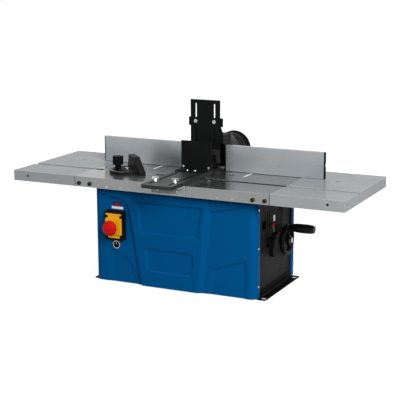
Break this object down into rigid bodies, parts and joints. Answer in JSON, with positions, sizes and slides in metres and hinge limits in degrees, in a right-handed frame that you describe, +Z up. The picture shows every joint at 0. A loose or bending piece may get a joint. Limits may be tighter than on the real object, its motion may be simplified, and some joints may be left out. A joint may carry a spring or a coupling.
{
  "type": "spindle moulder",
  "caption": "Bench spindle moulder: slotted table with side wings, split fence with dust hood and guard plate, pressure shoe, mitre gauge and a crank-lifted spindle in a moulded case.",
  "frame": {"origin": "midway between the four bench slots, at the underside of the feet", "axes": "+X along the table towards the crank side, +Y to the back where the dust port is, +Z up"},
  "size_m": [1.02, 0.522, 0.518],
  "materials": {
    "table_grey": "ground and satin",
    "wing_grey": "satin",
    "fence_alu": "satin extrusion",
    "cover_blue": "fine-textured moulding",
    "black_steel": "semi-matt powder coat",
    "black_plastic": "fine-textured moulding",
    "black_alloy": "black coating",
    "zinc": "bright zinc",
    "steel": "turned",
    "rotor_steel": "laminated",
    "motor_grey": "die cast",
    "yellow_plastic": "smooth",
    "red_plastic": "smooth",
    "green_plastic": "smooth",
    "board_green": "circuit board"
  },
  "bodies": {
    "stand": {"main_table": "table_grey", "left_wing": "wing_grey", "right_wing": "wing_grey", "table_bolts": "zinc", "table_ring": "zinc", "front_cover": "cover_blue", "back_cover": "cover_blue", "left_panel": "black_steel", "right_panel": "black_steel", "feet": "black_steel", "base_plate": "black_steel", "cover_screws": "zinc", "cable_gland": "black_plastic", "guide_columns": "steel", "scale_plate": "zinc", "crank_bracket": "black_steel", "crank_bushes": "zinc", "switch_base": "black_plastic", "dial_bezel": "zinc", "control_board": "board_green", "shoe_bracket": "zinc"},
    "lift": {"carriage": "motor_grey", "rack": "steel", "lift_arm": "zinc", "pointer": "red_plastic", "motor_housing": "motor_grey", "spindle_bearings": "steel"},
    "spindle": {"spindle": "steel", "rotor": "rotor_steel", "collet": "steel", "collet_nut": "steel"},
    "crank": {"crank_shaft": "steel", "handwheel": "black_plastic", "wheel_fasteners": "zinc"},
    "grip": {"grip": "black_plastic"},
    "lock": {"lock_lever": "black_plastic"},
    "flap": {"switch_flap": "yellow_plastic"},
    "stop": {"stop_button": "red_plastic"},
    "start": {"start_button": "green_plastic"},
    "reset": {"reset_button": "red_plastic"},
    "dial": {"speed_dial": "black_plastic"},
    "fence": {"fence_carrier": "black_steel", "fence_bolts": "zinc", "hood": "black_steel", "dust_port": "black_plastic", "guard_screws": "zinc"},
    "left_board": {"left_fence": "fence_alu"},
    "right_board": {"right_fence": "fence_alu"},
    "left_clamp": {"left_clamp_knob": "black_plastic"},
    "right_clamp": {"right_clamp_knob": "black_plastic"},
    "guard": {"guard_plate": "black_steel"},
    "shoe": {"shoe_arm": "black_steel", "shoe_plate": "black_steel", "shoe_bolts": "zinc"},
    "left_wing_screw": {"left_wing_bolt": "zinc"},
    "right_wing_screw": {"right_wing_bolt": "zinc"},
    "mitre_slide": {"mitre_bar": "steel", "mitre_pivot": "zinc"},
    "mitre_quadrant": {"mitre_head": "black_alloy"},
    "mitre_clamp": {"mitre_knob": "black_plastic"}
  },
  "joints": [
    {"name": "spindle_lift", "type": "slide", "parent": "stand", "child": "lift", "axis": [0, 0, 1], "range_m": [-0.02, 0.02]},
    {"name": "crank_turn", "type": "hinge", "parent": "stand", "child": "crank", "pos_m": [0.262, 0.05, 0.131], "axis": [1, 0, 0], "range_deg": [-112, 112]},
    {"name": "grip_spin", "type": "hinge", "parent": "crank", "child": "grip", "pos_m": [0.3, 0.062, 0.165], "axis": [1, 0, 0], "continuous": true},
    {"name": "spindle_spin", "type": "hinge", "parent": "lift", "child": "spindle", "pos_m": [0, 0.095, 0.3], "axis": [0, 0, 1], "continuous": true},
    {"name": "lock_turn", "type": "hinge", "parent": "stand", "child": "lock", "pos_m": [0.256, -0.052, 0.145], "axis": [1, 0, 0], "range_deg": [0, 70]},
    {"name": "flap_lift", "type": "hinge", "parent": "stand", "child": "flap", "pos_m": [-0.183, -0.166, 0.206], "axis": [1, 0, 0], "range_deg": [-100, 0]},
    {"name": "stop_press", "type": "slide", "parent": "flap", "child": "stop", "axis": [0, 1, 0], "range_m": [0, 0.002], "stiffness_N_per_m": 800},
    {"name": "start_press", "type": "slide", "parent": "stand", "child": "start", "axis": [0, 1, 0], "range_m": [0, 0.0012], "stiffness_N_per_m": 800},
    {"name": "reset_press", "type": "slide", "parent": "stand", "child": "reset", "axis": [0, 1, 0], "range_m": [0, 0.002], "stiffness_N_per_m": 800},
    {"name": "dial_turn", "type": "hinge", "parent": "stand", "child": "dial", "pos_m": [-0.182, -0.155, 0.116], "axis": [0, 1, 0], "range_deg": [-150, 150]},
    {"name": "fence_slide", "type": "slide", "parent": "stand", "child": "fence", "axis": [0, 1, 0], "range_m": [-0.025, 0.015]},
    {"name": "left_fence_slide", "type": "slide", "parent": "fence", "child": "left_board", "axis": [1, 0, 0], "range_m": [-0.03, 0.01]},
    {"name": "right_fence_slide", "type": "slide", "parent": "fence", "child": "right_board", "axis": [1, 0, 0], "range_m": [-0.03, 0.03]},
    {"name": "left_clamp_turn", "type": "hinge", "parent": "fence", "child": "left_clamp", "pos_m": [-0.145, 0.1, 0.33], "axis": [0, 0, 1], "range_deg": [-180, 180]},
    {"name": "right_clamp_turn", "type": "hinge", "parent": "fence", "child": "right_clamp", "pos_m": [0.145, 0.1, 0.33], "axis": [0, 0, 1], "range_deg": [-180, 180]},
    {"name": "guard_slide", "type": "slide", "parent": "fence", "child": "guard", "axis": [0, 0, 1], "range_m": [-0.045, 0.055]},
    {"name": "shoe_slide", "type": "slide", "parent": "stand", "child": "shoe", "axis": [0, 1, 0], "range_m": [-0.05, 0.02]},
    {"name": "left_wing_turn", "type": "hinge", "parent": "stand", "child": "left_wing_screw", "pos_m": [-0.03, -0.196, 0.325], "axis": [0, 0, 1], "range_deg": [-180, 180]},
    {"name": "right_wing_turn", "type": "hinge", "parent": "stand", "child": "right_wing_screw", "pos_m": [0.03, -0.196, 0.325], "axis": [0, 0, 1], "range_deg": [-180, 180]},
    {"name": "mitre_slide", "type": "slide", "parent": "stand", "child": "mitre_slide", "axis": [1, 0, 0], "range_m": [-0.19, 0.055]},
    {"name": "mitre_turn", "type": "hinge", "parent": "mitre_slide", "child": "mitre_quadrant", "pos_m": [-0.193, -0.065, 0.316], "axis": [0, 0, 1], "range_deg": [-105, 15]},
    {"name": "mitre_knob_turn", "type": "hinge", "parent": "mitre_slide", "child": "mitre_clamp", "pos_m": [-0.2235, -0.065, 0.346], "axis": [0, 0, 1], "range_deg": [-180, 180]}
  ],
  "couplings": [
    {"joint": "crank_turn", "follows": "spindle_lift", "rad_per_m": 95.238}
  ]
}
